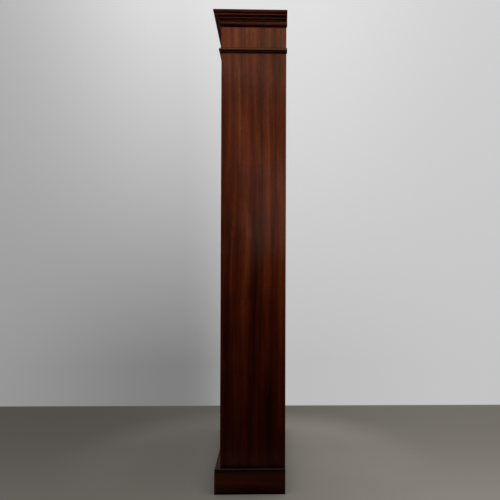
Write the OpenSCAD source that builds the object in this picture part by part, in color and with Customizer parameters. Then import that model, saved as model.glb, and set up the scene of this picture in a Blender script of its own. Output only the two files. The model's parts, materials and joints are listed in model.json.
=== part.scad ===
// Tall open-front bookcase: two side panels, a boarded back, five loose shelves on turned pegs,
// a frieze under a moulded cornice, and a planted plinth. Millimetres, +Z up, front towards -Y.

/* [Overall] */
// Height from the floor to the top of the cornice
overall_h = 1980; // [1500:10:2300]
// Width of the carcass over its side panels
carcass_w = 960; // [700:10:1100]
// Depth of the side panels, front edge to back edge
carcass_d = 268; // [230:2:360]

/* [Boards] */
// Thickness of the side panels
side_t = 22; // [20:1:28]
// Thickness of the fixed top and bottom boards
board_t = 20; // [18:1:24]
// Thickness of the frieze board
frieze_t = 20; // [16:1:26]
// Depth of the housings cut in the side panels
housing_d = 8; // [5:1:9]
// Thickness of the tongues that enter the housings
tongue_h = 10; // [7:1:12]
// Rounding of the long edges of the boards
arris_r = 1; // [0.5:0.25:1.5]
// Number of reeds on the front edges of the sides and shelves
reed_count = 3; // [2:1:4]

/* [Back] */
// Thickness of the matched back boards
back_t = 9; // [8:1:12]
// Number of back boards
back_count = 7; // [5:1:9]
// Width of the rebate that takes the back boards
back_rebate = 11; // [9:1:12]
// Thickness of the tongue of a back board
back_tongue_t = 3; // [2.5:0.5:3.5]
// Length of the tongue of a back board
back_tongue_l = 5; // [4:0.5:7]
// Gap left between two back boards for the wood to move
back_gap = 0.6; // [0.4:0.1:1.2]
// Chamfer that makes the vee between two back boards
back_vee = 1.6; // [1:0.2:2.4]
// Height of the lower end of the back boards above the floor
back_foot = 12; // [6:1:30]

/* [Cornice] */
// Height of the cap, the cornice's upper member
cap_h = 19.5; // [17:0.5:28]
// Projection of the cap beyond the carcass
cap_reach = 32; // [28:1:42]
// Height of the square fillet along the top of the cap
cap_fillet = 5; // [4:0.5:7]
// Radius of the ovolo under the cap's fillet
cap_ovolo_r = 12; // [11:0.5:16]
// Height of the fillet along the foot of the cap
cap_foot = 4; // [3:0.5:6]
// Projection of the fillet along the foot of the cap
cap_foot_reach = 25.5; // [23:0.5:27]
// Width of the cap's seat on top of the carcass
cap_seat = 44; // [40:1:60]
// Height of the bed mould under the cap
bed_h = 41; // [38:1:54]
// Projection of the bed mould
bed_reach = 11.5; // [11:0.5:16]
// Height of the fillet along the top of the bed mould
bed_fillet = 9; // [6:0.5:12]
// Radius of the round along the lower part of the bed mould
bed_round_r = 14; // [12:0.5:18]
// Projection of the round
bed_round_reach = 9; // [8:0.5:10]
// Height of the round
bed_round_h = 23; // [20:0.5:26]
// Projection of the bed mould's foot
bed_foot = 1.5; // [1:0.5:4]
// Distance that the cornice runs past the back edge of the carcass
cornice_back = 3; // [0:0.5:4]

/* [Frieze] */
// Height of the plain frieze between the bed mould and the astragal
frieze_h = 87.5; // [50:0.5:140]
// Height of the astragal moulding under the frieze
astragal_h = 22; // [20:1:28]
// Projection of the astragal
astragal_reach = 10; // [9:0.5:14]
// Height of the fillet above the astragal's bead
astragal_fillet = 3.5; // [1:0.5:4]
// Radius of the astragal's bead
astragal_bead_r = 5.5; // [5:0.5:6.5]
// Projection of the foot of the hollow under the bead
astragal_foot = 1.5; // [1:0.5:3]
// Height of the frieze board that shows below the astragal
frieze_drop = 22; // [12:1:40]
// Radius of the bead worked on the lower edge of the frieze board
frieze_bead_r = 3; // [2:0.5:4]

/* [Plinth] */
// Height of the plinth boards
plinth_h = 104; // [80:1:160]
// Thickness of the plinth boards
plinth_t = 21; // [16:1:28]
// Radius of the plinth's rounded top edge
plinth_round = 5; // [3:0.5:8]
// Height that the bottom board's top stands above the plinth
bottom_rise = 12; // [4:1:16]
// Thickness of the rails inside the plinth
rail_t = 18; // [15:1:24]
// Leg of the triangular glue blocks
block_leg = 24; // [16:1:30]
// Length of a glue block
block_l = 70; // [40:5:90]

/* [Shelves] */
// Thickness of a shelf
shelf_t = 20; // [18:1:24]
// Gap between a shelf's end and the side panel
shelf_end_gap = 1.8; // [1.6:0.1:3]
// Gap between a shelf's back edge and the back boards
shelf_back_gap = 4; // [2:0.5:10]
// Distance that a shelf's front stands back from the side's front edge
shelf_setback = 3; // [1:0.5:12]
// Depth of the moulded lipping on a shelf's front edge
lipping_d = 14; // [12:1:22]
// Thickness of the lipping's tongue
lipping_tongue_t = 6; // [4:0.5:8]
// Length of the lipping's tongue
lipping_tongue_l = 6; // [4:0.5:8]

/* [Pegs] */
// Distance between two rows of peg holes
peg_pitch = 38; // [32:1:50]
// Height of the first row of peg holes above the bottom board
peg_first = 150; // [100:5:220]
// Height kept free of peg holes below the frieze board
peg_last = 110; // [80:5:200]
// Distance of the front peg holes from the side's front edge
peg_front = 42; // [32:1:60]
// Distance of the rear peg holes from the back boards
peg_rear = 38; // [28:1:60]
// Radius of a peg hole
peg_hole_r = 3.6; // [3:0.1:4.5]
// Depth of a peg hole
peg_hole_d = 12; // [9:0.5:14]
// Radial clearance of a peg's shank in its hole
peg_fit = 0.06; // [0.03:0.01:0.1]
// Radius of a peg's head
peg_head_r = 4.2; // [4:0.1:5.5]
// Length of a peg's head
peg_head_l = 9; // [7:0.5:14]
// Radius of a peg's collar
peg_collar_r = 6; // [5.5:0.1:7]
// Thickness of a peg's collar
peg_collar_t = 1; // [0.6:0.1:1.2]
// Clearance between a peg's head and the shelf on it
peg_seat = 0.3; // [0.2:0.05:0.4]

/* [Screws] */
// Radius of a screw's shank
screw_r = 1.8; // [1.4:0.1:2.2]
// Radius of a screw's countersunk head
screw_head_r = 3.6; // [3:0.1:4.2]
// Clearance round a screw in its hole
screw_fit = 0.1; // [0.05:0.05:0.2]
// Length of a cap screw
cap_screw_l = 36; // [30:1:38]
// Length of a back board screw
back_screw_l = 25; // [18:1:32]

/* [Hidden] */
$fn = 48;
reach_out = 1;               // how far a cutter runs past what it cuts
glue_fit = 0.1;              // clearance round a tongue in its groove
root = 1;                    // how far a tongue's root runs into its own board
hole_end = 1;                // room left beyond a peg's shank in its hole
rows_at = [0.12, 0.33, 0.53, 0.72, 0.89];   // each shelf's row, as a share of the rows of holes

half_w = carcass_w / 2;
inner_half = half_w - side_t;
overall_d = cap_reach + carcass_d + cornice_back;
front_y = cap_reach - overall_d / 2;
back_y = front_y + carcass_d;
moulding_back_y = back_y + cornice_back;
back_face_y = back_y - back_t;

side_h = overall_h - cap_h;
bed_z = side_h - bed_h;
astragal_z = bed_z - frieze_h - astragal_h;
opening_top = astragal_z - frieze_drop;
bottom_top = plinth_h + bottom_rise;
bottom_z = bottom_top - board_t;
top_z = side_h - board_t;

reed_side_r = side_t / (2 * reed_count);
reed_shelf_r = shelf_t / (2 * reed_count);
housing_stop = 3 * reed_side_r;

rail_front_y = front_y + rail_t;
rail_back_y = back_face_y - rail_t;

peg_row_z = bottom_top + peg_first;
peg_rows = floor((opening_top - peg_last - peg_row_z) / peg_pitch) + 1;
peg_columns = [front_y + peg_front, back_face_y - peg_rear];
shelf_count = len(rows_at);
shelf_half = inner_half - shelf_end_gap;
shelf_front_y = front_y + shelf_setback;
shelf_back_y = back_face_y - shelf_back_gap;
lipping_back_y = shelf_front_y + lipping_d;

back_half = inner_half + back_rebate;
back_pitch = 2 * (back_half - back_gap / 2) / back_count;
screw_head_h = screw_head_r - screw_r;
cap_screw_inset = side_t + (cap_seat - side_t) / 2;
cap_rail_y = back_y - cap_seat;
cap_rail_half = half_w - cap_seat;

function peg_z(row) = peg_row_z + row * peg_pitch;
function shelf_row(i) = round(rows_at[i - 1] * (peg_rows - 1));
function shelf_z(i) = peg_z(shelf_row(i)) + peg_head_r + peg_seat;
function back_x(i) = -back_half + back_gap / 2 + (i - 0.5) * back_pitch;

// Colours of the polished wood, the plain wood and the metal
module show_wood() { color("#4a1f12") children(); }
module shelf_wood() { color("#5a2a18") children(); }
module plain_wood() { color("#7a4a2c") children(); }
module brass() { color("#b08a3e") children(); }
module steel() { color("#8c8c8c") children(); }

// Box between two corners
module box(low, high) {
    translate(low) cube([for (k = [0 : 2]) high[k] - low[k]]);
}

// Rectangle between two corners with rounded corners
module eased(low, high, r = arris_r) {
    translate([low[0] + r, low[1]]) square([high[0] - low[0] - 2 * r, high[1] - low[1]]);
    translate([low[0], low[1] + r]) square([high[0] - low[0], high[1] - low[1] - 2 * r]);
    for (x = [low[0] + r, high[0] - r], y = [low[1] + r, high[1] - r])
        translate([x, y]) circle(r);
}

// What reeding takes from the front edge of a board that runs from x = 0 to x = width,
// with its front at y = 0
module reed_waste(width) {
    r = width / (2 * reed_count);
    difference() {
        translate([-reach_out, -reach_out]) square([width + 2 * reach_out, r + reach_out]);
        for (k = [0 : reed_count - 1]) translate([(2 * k + 1) * r, r]) circle(r);
    }
}

// Countersunk screw along -Z from its head's flat face, grown all round by a clearance
module screw(length, grow = 0) {
    translate([0, 0, -length]) cylinder(h = length, r = screw_r + grow);
    translate([0, 0, -screw_head_h - grow])
        cylinder(h = screw_head_h + grow, r1 = screw_r + grow, r2 = screw_head_r + 2 * grow);
}

// The slotted screw itself
module slotted_screw(length) {
    slot_w = screw_head_r / 4;
    slot_d = screw_head_h / 2;
    difference() {
        screw(length);
        translate([-screw_head_r - reach_out, -slot_w / 2, -slot_d])
            cube([2 * (screw_head_r + reach_out), slot_w, slot_d + reach_out]);
    }
}

// Places its children at each cap screw
module at_cap_screws() {
    x = half_w - cap_screw_inset;
    for (side = [-1, 1], y = [front_y + 2 * cap_seat, back_y - 2 * cap_seat])
        translate([side * x, y, overall_h]) children();
    for (k = [-0.6, 0, 0.6], y = [front_y + cap_screw_inset, back_y - cap_screw_inset])
        translate([k * x, y, overall_h]) children();
}

// Places its children at each back board screw, pointing into the carcass
module at_back_screws() {
    for (i = [1 : back_count], z = [bottom_z + board_t / 2, top_z + board_t / 2])
        translate([back_x(i), back_y, z]) rotate([-90, 0, 0]) children();
}

// Side panel at +X, its rebate, housings, reeded edge and peg holes
module side_panel() {
    half_board = (board_t - tongue_h) / 2;
    difference() {
        linear_extrude(side_h) eased([inner_half, front_y], [half_w, back_y]);
        // rebate for the back boards
        box([inner_half - reach_out, back_face_y, -reach_out],
            [half_w - side_t + back_rebate, back_y + reach_out, side_h + reach_out]);
        // housings for the bottom and top boards
        box([inner_half - reach_out, front_y + housing_stop, bottom_z],
            [inner_half + housing_d, back_y + reach_out, bottom_z + tongue_h]);
        box([inner_half - reach_out, front_y + frieze_t, top_z],
            [inner_half + housing_d, back_y + reach_out, top_z + tongue_h]);
        // stopped groove for the frieze board
        box([inner_half - reach_out, front_y + frieze_t / 3, opening_top + frieze_drop],
            [inner_half + housing_d, front_y + frieze_t * 2 / 3, side_h + reach_out]);
        // reeds between the plinth and the frieze
        translate([inner_half, front_y, plinth_h])
            linear_extrude(opening_top - plinth_h) reed_waste(side_t);
        for (row = [0 : peg_rows - 1], y = peg_columns)
            translate([inner_half - reach_out, y, peg_z(row)]) rotate([0, 90, 0])
                cylinder(h = peg_hole_d + reach_out, r = peg_hole_r);
    }
}
module side_right() { show_wood() side_panel(); }
module side_left() { show_wood() mirror([1, 0, 0]) side_panel(); }

// Fixed board between the sides, its ends reduced to tongues along the lower face
module housed_board(z, front, tongue_front) {
    shoulder = inner_half;
    end = inner_half + housing_d - glue_fit;
    translate([-shoulder, 0, z]) rotate([90, 0, 90])
        linear_extrude(2 * shoulder) eased([front, 0], [back_face_y, board_t]);
    box([-end, tongue_front, z], [end, back_face_y, z + tongue_h - glue_fit]);
}

module carcass_bottom() {
    shelf_wood() difference() {
        housed_board(bottom_z, front_y, front_y + housing_stop + glue_fit);
        at_back_screws() screw(back_screw_l + glue_fit, screw_fit);
    }
}

module carcass_top() {
    plain_wood() difference() {
        housed_board(top_z, front_y + frieze_t, front_y + frieze_t + glue_fit);
        at_back_screws() screw(back_screw_l + glue_fit, screw_fit);
        at_cap_screws() screw(cap_screw_l + glue_fit, screw_fit);
    }
}

// Frieze board between the sides, tongued into both, with a bead along its lower edge
module frieze_board() {
    bead = frieze_bead_r;
    quirk = bead / 2;
    end = inner_half + housing_d - glue_fit;
    show_wood() {
        translate([-inner_half, front_y, opening_top]) rotate([90, 0, 90])
            linear_extrude(2 * inner_half) difference() {
                union() {
                    translate([bead, 0]) square([frieze_t - bead, side_h - opening_top]);
                    translate([0, bead]) square([frieze_t, side_h - opening_top - bead]);
                    translate([bead, bead]) circle(bead);
                }
                translate([-reach_out, 2 * bead]) square([quirk + reach_out, quirk]);
            }
        box([-end, front_y + frieze_t / 3 + glue_fit, opening_top + frieze_drop + glue_fit],
            [end, front_y + frieze_t * 2 / 3 - glue_fit, side_h]);
    }
}

// Length of moulding across the front, mitred at both ends. The children are its section,
// with x the projection from the carcass and y the height above z.
module front_run(z, height, reach, seat = 0) {
    intersection() {
        translate([0, front_y, z]) rotate([90, 0, -90])
            linear_extrude(carcass_w + 2 * (reach + reach_out), center = true) children();
        translate([0, 0, z - reach_out]) linear_extrude(height + 2 * reach_out) polygon([
            [-half_w - reach, front_y - reach], [half_w + reach, front_y - reach],
            [half_w - seat, front_y + seat], [-half_w + seat, front_y + seat]]);
    }
}

// Length of moulding along the +X side, mitred at the front and square at the back
module side_run(z, height, reach, end_y, seat = 0) {
    intersection() {
        translate([half_w, end_y, z]) rotate([90, 0, 0])
            linear_extrude(end_y - front_y + reach + reach_out) children();
        translate([0, 0, z - reach_out]) linear_extrude(height + 2 * reach_out) polygon([
            [half_w + reach, front_y - reach], [half_w + reach, end_y + reach_out],
            [half_w - seat, end_y + reach_out], [half_w - seat, front_y + seat]]);
    }
}

// Section of the cap: a fillet, an ovolo and a fillet along the foot
module cap_section() {
    head = cap_reach - arris_r;
    ovolo_x = head - cap_ovolo_r;
    ovolo_y = cap_h - cap_fillet;
    translate([-cap_seat, ovolo_y]) square([cap_seat + head, cap_fillet]);
    translate([head - arris_r, ovolo_y]) square([2 * arris_r, cap_fillet - arris_r]);
    translate([head, cap_h - arris_r]) circle(arris_r);
    intersection() {
        translate([ovolo_x, ovolo_y]) circle(cap_ovolo_r);
        translate([ovolo_x, cap_foot]) square([cap_ovolo_r, ovolo_y - cap_foot]);
    }
    translate([-cap_seat, 0]) square([cap_seat + ovolo_x, ovolo_y]);
    square([cap_foot_reach, cap_foot]);
}

// Section of the bed mould: a fillet over a hollow, over a round
module bed_section() {
    head = bed_reach - arris_r;
    round_x = bed_round_reach - bed_round_r;
    round_y = sqrt(pow(bed_round_r, 2) - pow(bed_foot - round_x, 2));
    wrist = round_x + sqrt(pow(bed_round_r, 2) - pow(bed_round_h - round_y, 2));
    rise = bed_h - bed_fillet - bed_round_h;
    run = head - wrist;
    hollow_r = (rise * rise + run * run) / (2 * run);
    translate([0, bed_h - bed_fillet]) square([bed_reach, bed_fillet]);
    difference() {
        translate([0, bed_round_h]) square([head, rise]);
        translate([wrist + hollow_r, bed_round_h]) circle(hollow_r, $fn = 96);
    }
    intersection() {
        translate([round_x, round_y]) circle(bed_round_r);
        square([bed_round_reach, bed_round_h]);
    }
}

// Section of the astragal: a fillet, a half round and a hollow
module astragal_section() {
    bead_x = astragal_reach - astragal_bead_r;
    bead_y = astragal_h - astragal_fillet - astragal_bead_r;
    hollow_r = bead_y - astragal_bead_r;
    translate([0, hollow_r]) square([bead_x, astragal_h - hollow_r]);
    intersection() {
        translate([bead_x, bead_y]) circle(astragal_bead_r);
        square([astragal_reach, astragal_h]);
    }
    difference() {
        square([bead_x, hollow_r + astragal_bead_r]);
        translate([astragal_foot + hollow_r, 0]) circle(hollow_r);
    }
}

// Section of the plinth: a bead over a narrow quirk
module plinth_section() {
    r = plinth_round;
    quirk = r / 2;
    square([plinth_t, plinth_h - 2 * r - quirk]);
    square([plinth_t - quirk, plinth_h - r]);
    square([plinth_t - r, plinth_h]);
    translate([plinth_t - r, plinth_h - r]) circle(r);
}

module cap_front() {
    show_wood() difference() {
        front_run(side_h, cap_h, cap_reach, cap_seat) cap_section();
        at_cap_screws() screw(cap_screw_l + glue_fit, screw_fit);
    }
}
module cap_return() {
    difference() {
        side_run(side_h, cap_h, cap_reach, moulding_back_y, cap_seat) cap_section();
        at_cap_screws() screw(cap_screw_l + glue_fit, screw_fit);
    }
}
module cap_right() { show_wood() cap_return(); }
module cap_left() { show_wood() mirror([1, 0, 0]) cap_return(); }

// Plain rail that closes the cap's frame along the back
module cap_back() {
    show_wood() difference() {
        translate([-cap_rail_half, 0, side_h]) rotate([90, 0, 90])
            linear_extrude(2 * cap_rail_half) eased([cap_rail_y, 0], [moulding_back_y, cap_h]);
        at_cap_screws() screw(cap_screw_l + glue_fit, screw_fit);
    }
}

module bed_mould_front() {
    show_wood() front_run(bed_z, bed_h, bed_reach) bed_section();
}
module bed_return() {
    side_run(bed_z, bed_h, bed_reach, moulding_back_y) bed_section();
}
module bed_mould_right() { show_wood() bed_return(); }
module bed_mould_left() { show_wood() mirror([1, 0, 0]) bed_return(); }

module astragal_front() {
    show_wood() front_run(astragal_z, astragal_h, astragal_reach) astragal_section();
}
module astragal_return() {
    side_run(astragal_z, astragal_h, astragal_reach, moulding_back_y) astragal_section();
}
module astragal_right() { show_wood() astragal_return(); }
module astragal_left() { show_wood() mirror([1, 0, 0]) astragal_return(); }

module plinth_front() {
    show_wood() front_run(0, plinth_h, plinth_t) plinth_section();
}
module plinth_return() {
    side_run(0, plinth_h, plinth_t, back_y) plinth_section();
}
module plinth_right() { show_wood() plinth_return(); }
module plinth_left() { show_wood() mirror([1, 0, 0]) plinth_return(); }

// Rails inside the plinth, under the bottom board
module toe_rail() {
    plain_wood() box([-inner_half, front_y, 0], [inner_half, rail_front_y, bottom_z]);
}
module back_rail() {
    plain_wood() box([-inner_half, rail_back_y, 0], [inner_half, back_face_y, bottom_z]);
}
module plinth_bearer() {
    plain_wood() box([-rail_t / 2, rail_front_y, 0], [rail_t / 2, rail_back_y, bottom_z]);
}

// Triangular block along X from the middle, its square corner at the top and towards -Y
module glue_block(length) {
    translate([-length / 2, 0, 0]) rotate([90, 0, 90]) linear_extrude(length)
        polygon([[0, 0], [block_leg, 0], [0, -block_leg]]);
}

module plinth_glue_blocks() {
    mid_y = (rail_front_y + rail_back_y) / 2;
    plain_wood() {
        for (k = [-0.75, -0.25, 0.25, 0.75]) {
            translate([k * inner_half, rail_front_y, bottom_z]) glue_block(block_l);
            translate([k * inner_half, rail_back_y, bottom_z]) rotate([0, 0, 180])
                glue_block(block_l);
        }
        for (side = [-1, 1])
            translate([side * inner_half, mid_y, bottom_z]) rotate([0, 0, side * 90])
                glue_block(block_l);
    }
}

module frieze_glue_blocks() {
    plain_wood() for (k = [-0.7, -0.25, 0.25, 0.7])
        translate([k * inner_half, front_y + frieze_t, top_z]) glue_block(block_l);
}

module cap_screws() {
    steel() at_cap_screws() slotted_screw(cap_screw_l);
}
module back_screws() {
    steel() at_back_screws() slotted_screw(back_screw_l);
}

// Matched board of the back: a tongue towards +X, a groove towards -X, and vees on the face
module back_board(i) {
    half = (back_pitch - back_gap) / 2;
    first = i == 1;
    last = i == back_count;
    tongue_y = (back_t - back_tongue_t) / 2;
    left = -half;
    right = half;
    play = glue_fit;
    shelf_wood() difference() {
        translate([back_x(i), back_face_y, back_foot])
            linear_extrude(side_h - back_foot) difference() {
                union() {
                    polygon([[left, first ? 0 : back_vee], [left + (first ? 0 : back_vee), 0],
                        [right - (last ? 0 : back_vee), 0], [right, last ? 0 : back_vee],
                        [right, back_t], [left, back_t]]);
                    if (!last)
                        translate([right - root, tongue_y + play])
                            square([root + back_tongue_l, back_tongue_t - 2 * play]);
                }
                if (!first)
                    translate([left - reach_out, tongue_y])
                        square([reach_out + back_tongue_l + back_gap / 2, back_tongue_t]);
            }
        at_back_screws() screw(back_screw_l, screw_fit);
    }
}

// Loose shelf: a board with its lipping, resting on four pegs
module shelf(i) {
    groove_y = lipping_back_y + lipping_tongue_l + glue_fit;
    groove_z = (shelf_t - lipping_tongue_t) / 2;
    shelf_wood() translate([-shelf_half, 0, shelf_z(i)]) rotate([90, 0, 90])
        linear_extrude(2 * shelf_half) difference() {
            union() {
                eased([lipping_back_y, 0], [shelf_back_y, shelf_t]);
                translate([lipping_back_y, 0]) square([2 * arris_r, shelf_t]);
            }
            translate([lipping_back_y - reach_out, groove_z])
                square([groove_y - lipping_back_y + reach_out, lipping_tongue_t]);
        }
}

module shelf_lipping(i) {
    r = reed_shelf_r;
    tongue_z = (shelf_t - lipping_tongue_t) / 2 + glue_fit / 2;
    show_wood() translate([-shelf_half, 0, shelf_z(i)]) rotate([90, 0, 90])
        linear_extrude(2 * shelf_half) {
            translate([shelf_front_y + r, 0]) square([lipping_d - r, shelf_t]);
            for (k = [0 : reed_count - 1])
                translate([shelf_front_y + r, (2 * k + 1) * r]) circle(r);
            translate([lipping_back_y - root, tongue_z])
                square([root + lipping_tongue_l, lipping_tongue_t - glue_fit]);
        }
}

// Turned peg in its hole at the +X side, its axis along X
module peg() {
    shank = peg_hole_d - hole_end;
    dome = peg_head_r / 3;
    translate([inner_half, 0, 0]) rotate([0, -90, 0]) rotate_extrude() {
        translate([0, -shank]) square([peg_hole_r - peg_fit, shank]);
        square([peg_collar_r, peg_collar_t]);
        square([peg_head_r, peg_head_l - dome]);
        square([peg_head_r - dome, peg_head_l]);
        intersection() {
            translate([peg_head_r - dome, peg_head_l - dome]) circle(dome);
            square([peg_head_r, peg_head_l]);
        }
    }
}

module shelf_pegs(i) {
    z = peg_z(shelf_row(i));
    brass() for (y = peg_columns) translate([0, y, z]) {
        peg();
        mirror([1, 0, 0]) peg();
    }
}

side_left();
side_right();
carcass_bottom();
carcass_top();
frieze_board();
cap_front();
cap_left();
cap_right();
cap_back();
bed_mould_front();
bed_mould_left();
bed_mould_right();
astragal_front();
astragal_left();
astragal_right();
plinth_front();
plinth_left();
plinth_right();
toe_rail();
back_rail();
plinth_bearer();
plinth_glue_blocks();
frieze_glue_blocks();
cap_screws();
back_screws();
for (i = [1 : back_count])
    back_board(i);
for (i = [1 : shelf_count])
    shelf(i);
for (i = [1 : shelf_count])
    shelf_lipping(i);
for (i = [1 : shelf_count])
    shelf_pegs(i);
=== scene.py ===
import bpy, json, math
from mathutils import Matrix, Vector


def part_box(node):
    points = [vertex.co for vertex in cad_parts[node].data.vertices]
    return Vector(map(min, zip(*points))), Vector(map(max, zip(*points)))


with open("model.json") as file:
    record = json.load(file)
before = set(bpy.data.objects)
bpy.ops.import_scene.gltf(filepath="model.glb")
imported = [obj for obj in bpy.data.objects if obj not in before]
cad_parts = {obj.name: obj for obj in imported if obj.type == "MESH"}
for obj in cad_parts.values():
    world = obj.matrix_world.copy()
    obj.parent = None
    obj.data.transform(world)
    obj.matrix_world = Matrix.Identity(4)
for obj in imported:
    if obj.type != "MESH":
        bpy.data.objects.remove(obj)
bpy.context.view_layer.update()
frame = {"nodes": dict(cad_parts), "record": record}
scene = bpy.context.scene
nodes = frame["nodes"]


# Camera: it faces the bookcase's right-hand end, and was fitted to the outline in the photograph

SENSOR_WIDTH = 36.0                 # mm
FOCAL_LENGTH = 43.88                # mm
SHIFT_X = -0.0684                   # shares of the picture's width
SHIFT_Y = 0.018
EYE = (2.9959, 0.07197, 0.93741)    # metres
HEADING = 90 - 1.6014               # degrees about the vertical: 90 looks along -X
TILT = 90 + 0.518                   # degrees: 90 is level
ROLL = 0.1642                       # degrees


def make_camera():
    data = bpy.data.cameras.new("camera")
    data.sensor_width = SENSOR_WIDTH
    data.lens = FOCAL_LENGTH
    data.shift_x = SHIFT_X
    data.shift_y = SHIFT_Y
    camera = bpy.data.objects.new("camera", data)
    scene.collection.objects.link(camera)
    turn = (Matrix.Rotation(math.radians(HEADING), 4, "Z")
            @ Matrix.Rotation(math.radians(TILT), 4, "X")
            @ Matrix.Rotation(math.radians(ROLL), 4, "Z"))
    camera.matrix_world = Matrix.Translation(EYE) @ turn
    scene.camera = camera


# Shader helpers

class Tree:
    """Adds shader nodes to a node tree. A value may be a number, a tuple or the output of another node."""

    def __init__(self, tree):
        self.tree = tree

    def add(self, kind, **settings):
        node = self.tree.nodes.new("ShaderNode" + kind)
        for key, value in settings.items():
            setattr(node, key, value)
        return node

    def put(self, socket, value):
        if isinstance(value, bpy.types.NodeSocket):
            self.tree.links.new(value, socket)
        else:
            socket.default_value = value

    def put_all(self, node, *values):
        for socket, value in zip(node.inputs, values):
            self.put(socket, value)
        return node.outputs[0]

    def place(self, kind="Object"):
        """On the CAD's objects and the floor, the place in the shared frame, in metres."""
        return self.add("TexCoord").outputs[kind]

    def axes(self, vector):
        node = self.add("SeparateXYZ")
        self.put(node.inputs[0], vector)
        return node.outputs

    def math(self, operation, *values):
        return self.put_all(self.add("Math", operation=operation), *values)

    def off(self, value, middle):
        """Distance of a value from the middle."""
        return self.math("ABSOLUTE", self.math("SUBTRACT", value, middle))

    def span(self, value, low, high, to_low=0.0, to_high=1.0):
        """A smooth step from to_low to to_high as the value goes from low to high."""
        node = self.add("MapRange", clamp=True, interpolation_type="SMOOTHSTEP")
        return self.put_all(node, value, low, high, to_low, to_high)

    def mix(self, share, a, b, blend="MIX"):
        node = self.add("Mix", data_type="RGBA", blend_type=blend)
        self.put(node.inputs[0], share)
        self.put(node.inputs[6], a)
        self.put(node.inputs[7], b)
        return node.outputs[2]

    def times(self, a, b, share=1.0):
        return self.mix(share, a, b, "MULTIPLY")

    def mix_shaders(self, share, a, b):
        return self.put_all(self.add("MixShader"), share, a, b)

    def stretch(self, vector, scale, move=(0.0, 0.0, 0.0), turn=(0.0, 0.0, 0.0)):
        return self.put_all(self.add("Mapping"), vector, move, turn, scale)

    def noise(self, vector, detail, rough=0.5, output=0):
        """Output 0 is grey and output 1 coloured. The size of the noise is in the vector's stretch."""
        node = self.add("TexNoise")
        self.put(node.inputs["Vector"], vector)
        node.inputs["Scale"].default_value = 1.0
        node.inputs["Detail"].default_value = detail
        node.inputs["Roughness"].default_value = rough
        return node.outputs[output]

    def ramp(self, value, stops):
        node = self.add("ValToRGB")
        points = node.color_ramp.elements
        while len(points) < len(stops):
            points.new(0.5)
        for point, (stop, colour) in zip(points, stops):
            point.position = stop
            point.color = (*colour, 1.0)
        return self.put_all(node, value)

    def openness(self, distance, samples):
        """1 on open surfaces, and less where other surfaces stand within the distance."""
        node = self.add("AmbientOcclusion", samples=samples)
        node.inputs["Distance"].default_value = distance
        return node.outputs["AO"]

    def relief(self, shader, height, strength, distance):
        node = self.add("Bump")
        node.inputs["Strength"].default_value = strength
        node.inputs["Distance"].default_value = distance
        self.put(node.inputs["Height"], height)
        self.put(shader.inputs["Normal"], node.outputs[0])


def new_material(name):
    material = bpy.data.materials.new(name)
    material.use_nodes = True
    return material, Tree(material.node_tree), material.node_tree.nodes["Principled BSDF"]


# Figure of the woods

# name: noise cells a metre across the grain and along it, own place in the noise, detail, roughness
LAYERS = {
    "band": (26.0, 0.8, (0.0, 0.0, 0.0), 1.5, 0.5),
    "stripe": (95.0, 1.8, (3.1, 1.7, 0.4), 2.0, 0.5),
    "fibre": (620.0, 9.0, (0.7, 5.3, 2.9), 3.0, 0.6),
    "mottle": (20.0, 9.0, (7.7, 2.1, 1.3), 2.0, 0.5),
    "hue": (33.0, 1.1, (5.9, 8.3, 3.7), 1.0, 0.5),
    "pore": (1500.0, 62.0, (1.9, 0.3, 6.1), 1.0, 0.5),
}
WANDER_CELLS = (4.0, 4.0, 1.3)      # noise cells a metre
WANDER = (0.06, 0.06, 0.0)          # metres that the grain strays from straight
REDDEST = 0.55                      # share of the red tint where it is strongest
PORE_DEPTH = 0.55                   # share of the pore's colour in a pore
PORE_DARK = 0.4                     # a pore's colour, as a share of the darkest wood's


def wood_figure(name, dark, middle, light, red, contrast):
    """Node group: the figure of a wood whose grain runs along the incoming vector's Z, in metres."""
    group = bpy.data.node_groups.new(name, "ShaderNodeTree")
    group.interface.new_socket("Vector", in_out="INPUT", socket_type="NodeSocketVector")
    for output, kind in (("Color", "Color"), ("Roughness", "Float"), ("Height", "Float")):
        group.interface.new_socket(output, in_out="OUTPUT", socket_type="NodeSocket" + kind)
    t = Tree(group)
    vector = group.nodes.new("NodeGroupInput").outputs[0]
    leave = group.nodes.new("NodeGroupOutput")

    wander = t.noise(t.stretch(vector, WANDER_CELLS), 1.0, output=1)
    vector = t.put_all(t.add("VectorMath", operation="MULTIPLY_ADD"), wander, WANDER, vector)
    layer = {}
    for key, (across, along, move, detail, rough) in LAYERS.items():
        layer[key] = t.noise(t.stretch(vector, (across, across, along), move), detail, rough)

    weights = {"band": 1.6 * contrast, "stripe": 0.7 * contrast, "mottle": 0.4, "fibre": 0.4}
    tone = 0.5
    for key, weight in weights.items():
        tone = t.math("ADD", tone, t.math("MULTIPLY", t.math("SUBTRACT", layer[key], 0.5), weight))
    colour = t.ramp(tone, [(0.1, dark), (0.48, middle), (0.9, light)])
    colour = t.times(colour, (*red, 1.0), t.span(layer["hue"], 0.42, 0.66, 0.0, REDDEST))
    pore = t.span(layer["pore"], 0.60, 0.68)
    pore_colour = [PORE_DARK * channel for channel in dark]
    colour = t.mix(t.math("MULTIPLY", pore, PORE_DEPTH), colour, (*pore_colour, 1.0))

    rough = t.math("ADD", t.math("MULTIPLY", layer["fibre"], 0.12), t.math("MULTIPLY", pore, 0.15))
    height = t.math("SUBTRACT", t.math("MULTIPLY", layer["fibre"], 0.25), t.math("MULTIPLY", pore, 0.6))
    for socket, value in zip(leave.inputs, (colour, rough, height)):
        t.put(socket, value)
    return group


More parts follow.
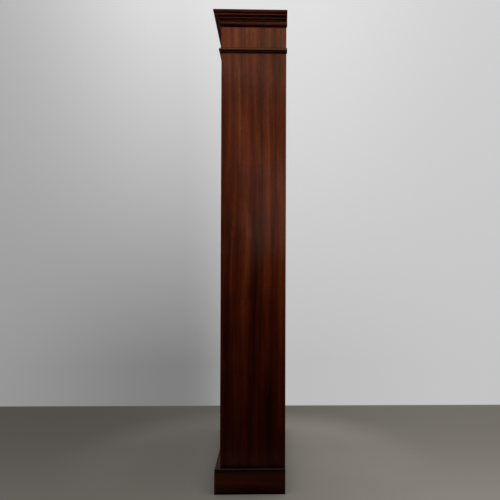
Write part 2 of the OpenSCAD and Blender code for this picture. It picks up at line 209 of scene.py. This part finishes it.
POLISHED = wood_figure("mahogany_figure", dark=(0.040, 0.0092, 0.0042), middle=(0.108, 0.0275, 0.0078),
                       light=(0.190, 0.060, 0.0170), red=(1.0, 0.62, 0.70), contrast=0.82)
INSIDE = wood_figure("inside_figure", dark=(0.048, 0.0120, 0.0052), middle=(0.105, 0.0290, 0.0090),
                     light=(0.158, 0.049, 0.0155), red=(1.0, 0.74, 0.78), contrast=0.7)
PLAIN = wood_figure("plain_figure", dark=(0.16, 0.075, 0.032), middle=(0.27, 0.14, 0.065),
                    light=(0.37, 0.21, 0.105), red=(1.0, 0.9, 0.85), contrast=0.6)


# Tints: what stain, polish and age do to the figure's colour on some of the pieces, with painted sheen on
# the side's frieze and painted shade on the plinth's top edge

FRIEZE_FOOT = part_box("astragal_right")[0][2]
# painted sheen: the frieze is lighter and less red than the panel below
FRIEZE_PAINTED_SHEEN = (1.13, 1.36, 1.42, 1.0)
MOULDING_TINT = (0.62, 0.66, 0.75, 1.0)
PLINTH_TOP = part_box("plinth_front")[1][2]
# painted shade on the plinth's top edge
PLINTH_TOP_PAINTED_SHADE = (0.30, 0.30, 0.34, 1.0)
BACK_BOARDS = sorted(name for name in nodes if name.startswith("back_board"))
BACK_JOINTS = [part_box(name)[0][0] for name in BACK_BOARDS[1:]]
BACK_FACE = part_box("back_board_1")[1][1]
BARE_TINT = (1.45, 1.75, 2.1, 1.0)
BARE_WOOD = (0.20, 0.115, 0.062, 1.0)
JOINT_DIRT = (0.010, 0.006, 0.004, 1.0)

# dark streaks of heartwood in the side panels: distance from the middle of the depth, middle height,
# half width and half length, in metres, and the share of colour that they take
STREAKS = ((-0.094, 0.86, 0.014, 0.62, 0.42), (0.016, 0.84, 0.015, 0.60, 0.60),
           (0.108, 1.45, 0.007, 0.35, 0.35), (0.080, 0.52, 0.045, 0.40, 0.35))
STREAK_TINT = (0.20, 0.17, 0.30, 1.0)
STREAK_SWAY = 0.05                  # metres
SWAY_CELLS = (0.0, 9.0, 2.6)        # noise cells a metre


def side_sheen_and_streaks(t, place, colour):
    """Painted sheen lightens the side's frieze, above the astragal, and the panel has its dark streaks."""
    x, y, z = t.axes(place)
    colour = t.times(colour, FRIEZE_PAINTED_SHEEN, t.span(z, FRIEZE_FOOT, FRIEZE_FOOT + 0.004))
    sway = t.math("SUBTRACT", t.noise(t.stretch(place, SWAY_CELLS), 3.0, 0.55), 0.5)
    across = t.math("MULTIPLY_ADD", sway, STREAK_SWAY, y)
    for middle, height, half_width, half_length, share in STREAKS:
        in_width = t.span(t.off(across, middle), 0.15 * half_width, 1.25 * half_width, share, 0.0)
        in_length = t.span(t.off(z, height), 0.45 * half_length, half_length, 1.0, 0.0)
        colour = t.times(colour, STREAK_TINT, t.math("MULTIPLY", in_width, in_length))
    return colour


def board_tint(t, place, colour):
    """The back boards' outer face was never polished: it is paler and duller, with dark joints."""
    x, y, z = t.axes(place)
    bare = t.mix(0.35, t.times(colour, BARE_TINT), BARE_WOOD)
    colour = t.mix(t.span(y, BACK_FACE - 0.002, BACK_FACE - 0.0005), colour, bare)
    for joint in BACK_JOINTS:
        colour = t.mix(t.span(t.off(x, joint), 0.0006, 0.0020, 0.8, 0.0), colour, JOINT_DIRT)
    return colour


def moulding_tint(t, place, colour):
    """Stain and old polish darken the mouldings."""
    return t.times(colour, MOULDING_TINT)


def plinth_painted_shade(t, place, colour):
    """Painted shade darkens the plinth's top edge."""
    x, y, z = t.axes(place)
    return t.times(colour, PLINTH_TOP_PAINTED_SHADE, t.span(z, PLINTH_TOP - 0.005, PLINTH_TOP - 0.001))


def no_tint(t, place, colour):
    return colour


# Materials

# figure, roughness, weight and roughness of the coat of polish, strength of the relief
FINISHES = {
    "polished_mahogany": (POLISHED, 0.27, 0.4, 0.14, 0.12),
    "inside_mahogany": (INSIDE, 0.32, 0.2, 0.22, 0.12),
    "back_boards": (INSIDE, 0.42, 0.0, 0.3, 0.2),
    "plain_wood": (PLAIN, 0.5, 0.0, 0.3, 0.2),
}
WOOD_SPECULAR = 0.38
WOOD_RELIEF = 0.0004                # metres

# turns that lay a piece's grain, along its own X, Y or Z, on the figure's Z
TURNS = {"X": (0.0, math.radians(90), 0.0), "Y": (math.radians(90), 0.0, 0.0), "Z": (0.0, 0.0, 0.0)}
SEED_STEP = (1.37, 2.11, 0.73)      # metres through the timber from one piece to the next
PANEL_SEED = 61                     # stretch of timber whose figure suits the photographed panel
SHADE_LEAST = 0.88                  # lightness of the darkest piece
SHADE_SPREAD = 0.24                 # and how much lighter the palest may be
GOLDEN = 0.618                      # spreads the pieces evenly over the shades
WORN_EDGE = (0.0004, 0.0026)        # metres from an edge where rubbing starts to fade, and has faded
RUBBED = (0.30, 0.13, 0.05, 1.0)    # wood that shows through rubbed polish
RUBBED_SHARE = 0.55                 # share of its tint on the most worn edges
RUBBED_ROUGHNESS = 0.18             # roughness that the wear adds there
CORNER_GRIME_AND_SHADE = (0.012, 0.006, 0.003, 1.0)  # old polish gathered in the corners, and painted shade there
CORNER_SHADE_REACH = 0.012                 # metres
CORNER_SHADE_SHARE = 0.75                  # share of its colour in the tightest corners


def edge_wear(t, place, box):
    """Share of rubbed finish along the long edges of the box that the node fills."""
    low, high = box
    axes = t.axes(place)
    a, b, c = [t.math("MINIMUM", t.math("SUBTRACT", axes[k], low[k]), t.math("SUBTRACT", high[k], axes[k]))
               for k in range(3)]
    second = t.math("MAXIMUM", t.math("MINIMUM", a, b), t.math("MINIMUM", t.math("MAXIMUM", a, b), c))
    patchy = t.noise(t.stretch(place, (26.0, 26.0, 26.0)), 3.0, 0.6)
    return t.math("MULTIPLY", t.span(second, *WORN_EDGE, 1.0, 0.0), t.span(patchy, 0.46, 0.62, 0.15, 0.9))


def wood(node_name, finish, grain, seed, shade, tint):
    """Wood whose grain runs along the named axis. The seed picks the node's own stretch of timber."""
    figure, base_rough, coat, coat_rough, relief = FINISHES[finish]
    material, t, shader = new_material(node_name + "_wood")
    place = t.place()
    group = t.add("Group", node_tree=figure)
    own_place = [seed * step for step in SEED_STEP]
    t.put(group.inputs[0], t.stretch(place, (1.0, 1.0, 1.0), own_place, TURNS[grain]))
    colour, grain_rough, height = group.outputs

    colour = tint(t, place, t.times(colour, (shade, shade, shade, 1.0)))
    worn = edge_wear(t, place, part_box(node_name))
    colour = t.mix(t.math("MULTIPLY", worn, RUBBED_SHARE), colour, t.mix(0.5, colour, RUBBED))
    # painted shade, with old polish: the colour darkens where other surfaces stand near
    grime_and_shade = t.span(t.openness(CORNER_SHADE_REACH, 6), 0.30, 0.85, CORNER_SHADE_SHARE, 0.0)
    t.put(shader.inputs["Base Color"], t.mix(grime_and_shade, colour, CORNER_GRIME_AND_SHADE))

    smudge = t.noise(t.stretch(place, (9.0, 9.0, 6.0), (0.3, 4.4, 8.8)), 4.0, 0.6)
    rough = t.math("ADD", grain_rough, t.span(smudge, 0.35, 0.7, base_rough - 0.02, base_rough + 0.07))
    t.put(shader.inputs["Roughness"], t.math("ADD", rough, t.math("MULTIPLY", worn, RUBBED_ROUGHNESS)))
    shader.inputs["Specular IOR Level"].default_value = WOOD_SPECULAR
    shader.inputs["Coat Weight"].default_value = coat
    shader.inputs["Coat Roughness"].default_value = coat_rough
    t.relief(shader, height, relief, WOOD_RELIEF)
    return material


def metal(name, colour, rough):
    """Metal with a cloudy tarnish about 4 mm across."""
    material, t, shader = new_material(name)
    cloud = t.noise(t.stretch(t.place(), (260.0, 260.0, 260.0)), 4.0, 0.6)
    dull = [0.55 * channel for channel in colour]
    t.put(shader.inputs["Base Color"], t.mix(t.span(cloud, 0.35, 0.75), (*colour, 1.0), (*dull, 1.0)))
    t.put(shader.inputs["Roughness"], t.span(cloud, 0.3, 0.8, rough, rough + 0.25))
    shader.inputs["Metallic"].default_value = 1.0
    t.relief(shader, cloud, 0.08, 0.0002)
    return material


METALS = {
    "peg_brass": metal("turned_brass", (0.56, 0.37, 0.13), 0.28),
    "screw_steel": metal("screw_steel", (0.36, 0.35, 0.34), 0.38),
}


def grain_of(name):
    """Axis that a piece's grain runs along: its length."""
    if name.startswith(("side", "back_board")):
        return "Z"
    if name.endswith(("_left", "_right")) or name == "plinth_bearer":
        return "Y"
    return "X"


def tint_of(name):
    if name in BACK_BOARDS:
        return board_tint
    if name.startswith("side"):
        return side_sheen_and_streaks
    if name.startswith(("cap", "bed", "astragal")):
        return moulding_tint
    if name.startswith("plinth"):
        return plinth_painted_shade
    return no_tint


def material_for(name, slot, number):
    if slot in METALS:
        return METALS[slot]
    if name == "side_right":
        return wood(name, slot, grain_of(name), PANEL_SEED, 1.0, side_sheen_and_streaks)
    finish = "back_boards" if name in BACK_BOARDS else slot
    shade = SHADE_LEAST + SHADE_SPREAD * (number * GOLDEN % 1.0)
    return wood(name, finish, grain_of(name), number, shade, tint_of(name))


def dress_nodes():
    slots = {part["node"]: part["material_slot"] for part in frame["record"]["subparts"]}
    for number, name in enumerate(sorted(nodes), start=1):
        materials = nodes[name].data.materials
        materials.clear()
        materials.append(material_for(name, slots[name], number))


# Stage: to the camera, the world is a pale backdrop above a ground, and a disc round the object takes
# its shadow. To all other rays, the world is a soft dome and the disc a floor.

BACKDROP = (0.45, 0.452, 0.448, 1.0)
GROUND = (0.185, 0.174, 0.159, 1.0)
HORIZON = -0.2309                   # slope of the sight line to where the ground meets the backdrop
SOFT_LINE = 0.001                   # half the slope over which they blend
REACH = 1.0                         # metres at which the floor has faded into the ground
RIM_POINTS = 96
CONTACT_REACH = 0.25                # metres
CONTACT_SHADE = 0.45                # share of light that the contact shadow takes where it is darkest
LEE_SHADE = 0.24                    # and the same for the broad shadow on the front side
FLOOR_BOUNCE = (0.22, 0.206, 0.186, 1.0)
WARM_BOUNCE = (0.30, 0.20, 0.14, 1.0)
FLOOR_ROUGHNESS = 0.7
DOME = (0.42, 0.42, 0.42, 1.0)
DIM_DOME = (0.008, 0.0045, 0.0032, 1.0)
DIM_GLOSS = (0.003, 0.0016, 0.0011, 1.0)


def make_floor():
    mesh = bpy.data.meshes.new("floor")
    angles = [math.tau * k / RIM_POINTS for k in range(RIM_POINTS)]
    rim = [(REACH * math.cos(angle), REACH * math.sin(angle), 0.0) for angle in angles]
    mesh.from_pydata(rim, [], [tuple(range(RIM_POINTS))])
    floor = bpy.data.objects.new("floor", mesh)
    scene.collection.objects.link(floor)
    material, t, shader = new_material("floor")
    place = t.place()
    x, y, z = t.axes(place)
    length = t.add("VectorMath", operation="LENGTH")
    t.put(length.inputs[0], place)
    away = length.outputs["Value"]

    # a contact shadow, weaker behind the object, and a broad one on its front side
    contact = t.math("MULTIPLY", t.span(t.openness(CONTACT_REACH, 8), 0.3, 0.95, CONTACT_SHADE, 0.0),
                     t.span(y, 0.10, 0.24, 1.0, 0.40))
    lee = t.math("MULTIPLY", t.span(y, -0.35, 0.18, LEE_SHADE, 0.0), t.span(away, 0.2, REACH, 1.0, 0.0))
    shadow = t.math("MULTIPLY", t.math("SUBTRACT", 1.0, contact), t.math("SUBTRACT", 1.0, lee))
    cloud = t.noise(t.stretch(place, (0.9, 0.9, 0.9)), 3.0)
    tone = t.times(GROUND, t.span(cloud, 0.3, 0.7, 0.88, 0.98))
    # painted light and shade: the floor is darker towards the front and paler towards the back
    tone = t.times(tone, t.span(y, -0.8, 0.8, 0.80, 1.25))
    seen = t.add("Emission")
    t.put(seen.inputs[0], t.times(tone, shadow))

    # near the photographed panel, the floor throws a warmer light back on the object
    t.put(shader.inputs["Base Color"], t.mix(t.span(x, 0.3, 0.6), FLOOR_BOUNCE, WARM_BOUNCE))
    shader.inputs["Roughness"].default_value = FLOOR_ROUGHNESS
    shader.inputs["Specular IOR Level"].default_value = 0.0
    to_camera = t.add("LightPath").outputs["Is Camera Ray"]
    surface = t.mix_shaders(to_camera, shader.outputs[0], seen.outputs[0])
    faded = t.math("MULTIPLY", t.span(away, 0.55 * REACH, REACH), to_camera)
    clear = t.add("BsdfTransparent").outputs[0]
    output = material.node_tree.nodes["Material Output"]
    t.put(output.inputs[0], t.mix_shaders(faded, surface, clear))
    mesh.materials.append(material)


def make_world():
    world = bpy.data.worlds.new("world")
    scene.world = world
    world.use_nodes = True
    t = Tree(world.node_tree)
    x, y, z = t.axes(t.place("Generated"))

    # behind the photographed end, the backdrop is shaded to the left of the object and pales upwards
    behind = t.span(x, -0.86, -0.6, 1.0, 0.0)
    rise = t.math("MULTIPLY", t.span(y, -0.45, -0.14, 0.15, 0.60), t.span(y, -0.12, 0.03, 1.0, 0.45))
    rise = t.math("MULTIPLY", rise, t.span(y, 0.03, 0.35, 1.0, 0.35))
    rise = t.math("MULTIPLY", t.math("MAXIMUM", z, -0.16), rise)
    tone = t.math("ADD", t.span(y, -0.14, 0.03, 0.30, 0.445), rise)
    shaded = t.put_all(t.add("CombineColor"), tone, tone, tone)
    backdrop = t.mix(behind, BACKDROP, shaded)

    # the ground meets the backdrop on a square with rounded corners, and behind the photographed end
    # it is darker on the left and paler on the right
    side = t.math("SMOOTH_MAX", t.math("ABSOLUTE", x), t.math("ABSOLUTE", y), 0.2)
    slope = t.math("DIVIDE", z, side)
    # painted shade: the ground darkens towards the line where it meets the backdrop
    ground = t.times(GROUND, t.span(slope, -0.42, HORIZON, 1.0, 0.72))
    slant = t.math("MULTIPLY", behind, t.span(y, -0.30, 0.30, -0.24, 0.25))
    ground = t.times(ground, t.math("ADD", 1.0, slant))
    seen = t.mix(t.span(slope, HORIZON - SOFT_LINE, HORIZON + SOFT_LINE), ground, backdrop)

    # the dome is dim on the photographed panel's side, and dimmer still in reflections
    dome = t.mix(t.span(x, -0.25, 0.25), DOME, DIM_DOME)
    sheen = t.math("MULTIPLY", t.span(z, 0.0, 0.6, 0.15, 0.70), t.span(x, -0.05, 0.35, 1.0, 0.0))
    sheen = t.math("MULTIPLY", sheen, t.span(x, -0.92, -0.7, 0.25, 1.0))
    rays = t.add("LightPath").outputs
    light = t.mix(rays["Is Glossy Ray"], dome, t.mix(1.0, DIM_GLOSS, sheen, "ADD"))
    background = world.node_tree.nodes["Background"]
    t.put(background.inputs[0], t.mix(rays["Is Camera Ray"], light, seen))
    background.inputs[1].default_value = 1.0


# Lamps: each lights either what is matt in a surface or what is glossy, and none is seen itself

PANEL_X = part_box("side_right")[1][0]
WHITE = (1.0, 1.0, 1.0)
SPOT_RADIUS = 0.22                  # metres


def hang(name, data, at, aim, power, colour, glossy):
    data.energy = power
    data.color = colour
    lamp = bpy.data.objects.new(name, data)
    scene.collection.objects.link(lamp)
    lamp.location = at
    lamp.rotation_mode = "QUATERNION"
    lamp.rotation_quaternion = (Vector(aim) - Vector(at)).to_track_quat("-Z", "Y")
    lamp.visible_camera = False
    lamp.visible_glossy = glossy
    lamp.visible_diffuse = not glossy


def area_light(name, at, aim, size, power, colour=WHITE, glossy=False):
    data = bpy.data.lights.new(name, "AREA")
    data.shape = "RECTANGLE"
    data.size, data.size_y = size
    hang(name, data, at, aim, power, colour, glossy)


def spot_light(name, at, aim, cone, soft_edge, power, colour):
    data = bpy.data.lights.new(name, "SPOT")
    data.spot_size = math.radians(cone)
    data.spot_blend = soft_edge
    data.shadow_soft_size = SPOT_RADIUS
    hang(name, data, at, aim, power, colour, glossy=False)


def light_panel():
    """The photographed panel: light that falls off from the frieze to the plinth."""
    spot_light("wash_top", at=(1.86, 0.0, 3.54), aim=(PANEL_X, 0.0, 1.925),
               cone=30.9, soft_edge=0.64, power=163, colour=(1.0, 0.98, 0.92))
    spot_light("wash_middle", at=(2.56, 0.0, 1.95), aim=(PANEL_X, 0.0, 1.03),
               cone=38.6, soft_edge=0.93, power=70, colour=(1.0, 0.97, 0.90))
    spot_light("under_cornice", at=(3.0, 0.0, 0.5), aim=(PANEL_X, 0.0, 2.335),
               cone=16.0, soft_edge=0.25, power=115, colour=(1.0, 0.50, 0.30))
    area_light("low", at=(3.0, 0.0, 0.9), aim=(PANEL_X, 0.0, 0.2),
               size=(1.2, 1.2), power=1.4, colour=(1.0, 0.48, 0.28))
    area_light("fill", at=(3.4, 0.0, 1.9), aim=(PANEL_X, 0.0, 1.9),
               size=(0.6, 0.6), power=3.5, colour=(1.0, 0.80, 0.66))


def light_gloss():
    """Cards that the polish mirrors: on the panel's upper half, on the frieze and on the mouldings."""
    area_light("card", at=(5.0, 0.10, 1.60), aim=(PANEL_X, 0.05, 1.16),
               size=(0.56, 1.05), power=3.0, colour=(1.0, 0.74, 0.66), glossy=True)
    area_light("top_card", at=(5.0, -0.05, 3.5), aim=(PANEL_X, 0.0, 1.8),
               size=(1.4, 1.0), power=5.6, colour=(1.0, 0.93, 0.80), glossy=True)
    area_light("over", at=(1.1, 0.0, 3.6), aim=(0.45, 0.0, 1.5),
               size=(0.9, 1.6), power=9, colour=(1.0, 0.93, 0.85), glossy=True)


def light_other_sides():
    middle = (0.0, 0.0, 1.0)
    area_light("front", at=(-1.4, -3.2, 2.2), aim=middle, size=(3.2, 3.0), power=150)
    area_light("rear", at=(-1.4, 3.4, 2.2), aim=middle, size=(3.2, 3.0), power=75)
    area_light("far", at=(-3.6, 0.0, 2.4), aim=middle, size=(2.0, 2.0), power=45)


make_camera()
dress_nodes()
make_world()
make_floor()
light_panel()
light_gloss()
light_other_sides()
scene.view_settings.view_transform = "Standard"
scene.view_settings.look = "High Contrast"
